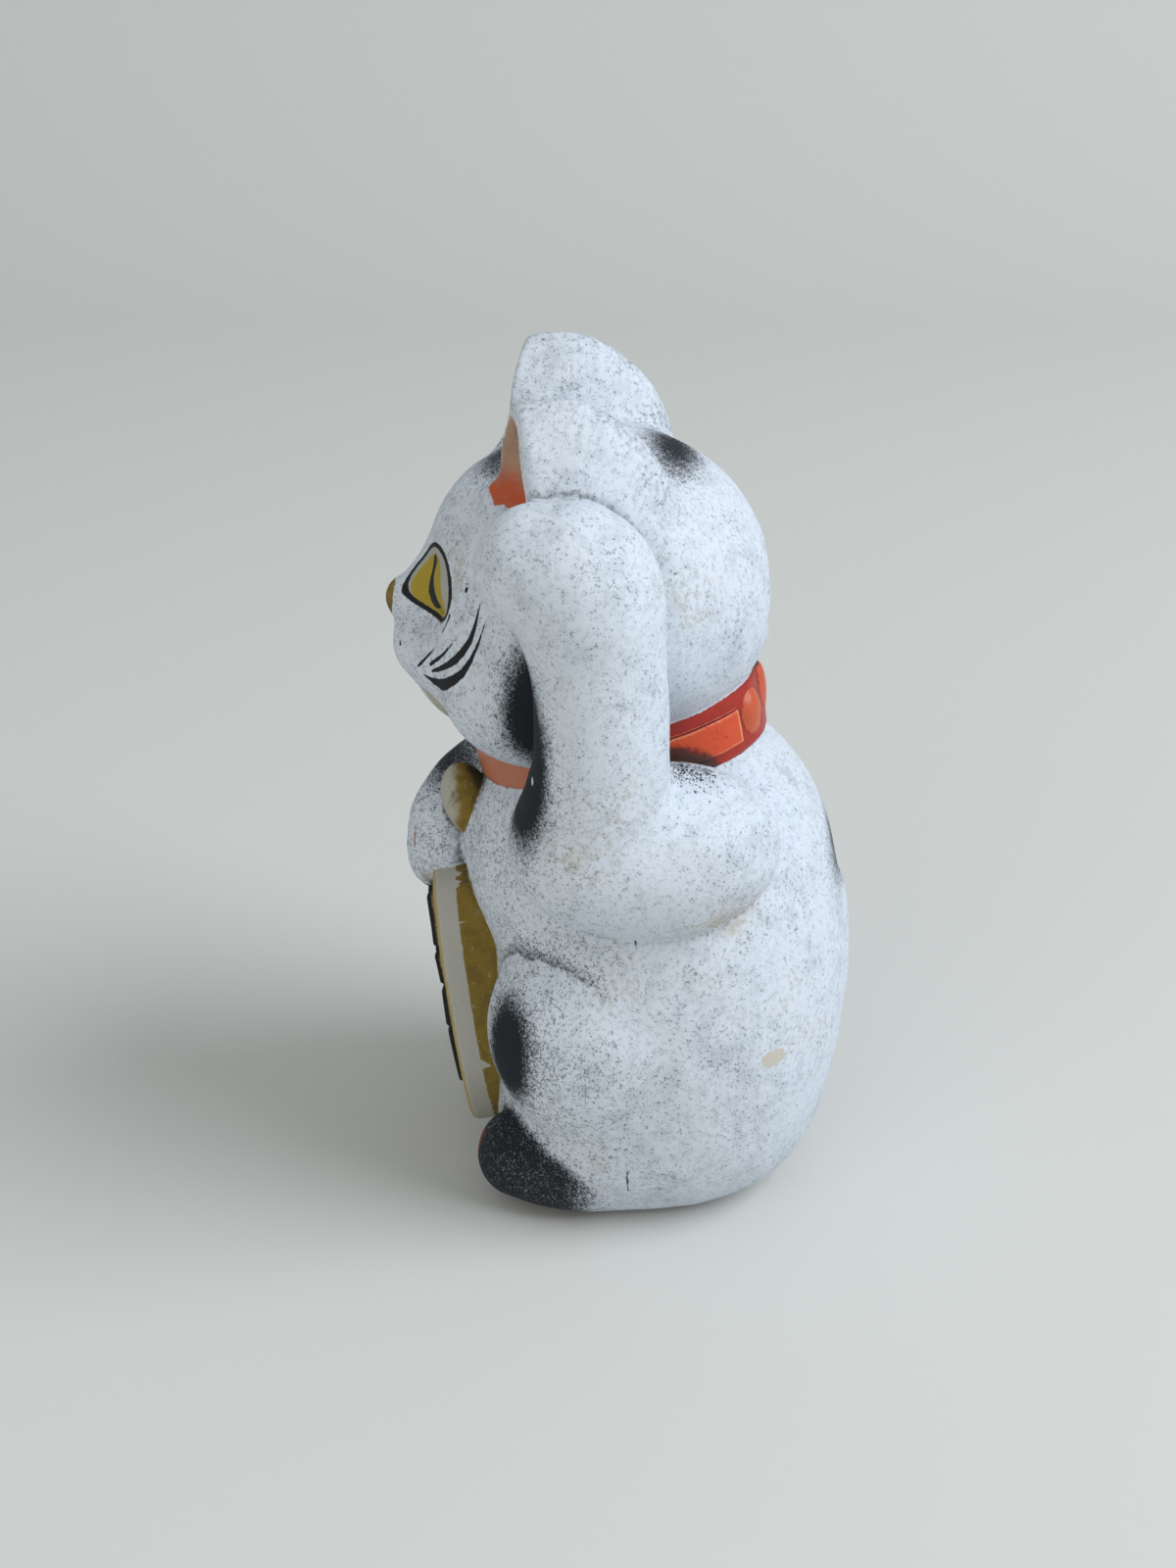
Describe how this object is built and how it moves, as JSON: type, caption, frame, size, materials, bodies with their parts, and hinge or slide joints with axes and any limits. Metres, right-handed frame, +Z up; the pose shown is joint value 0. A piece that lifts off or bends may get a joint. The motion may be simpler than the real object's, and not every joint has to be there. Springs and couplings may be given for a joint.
{
  "type": "clay lucky cat figurine",
  "caption": "Seated clay cat figurine with its left paw raised beside the head, its right paw on a long oval coin, a collar with a bell, and a money slot behind.",
  "frame": {"origin": "middle of the flat underside", "axes": "+Z up, the cat faces -Y, and its raised left arm is on the +X side"},
  "size_m": [0.1173, 0.1104, 0.1968],
  "materials": {
    "painted_clay": "matt white wash on fired clay, airbrushed black, with red and gold paint"
  },
  "bodies": {
    "root": {"lucky_cat": "painted_clay"}
  },
  "joints": []
}
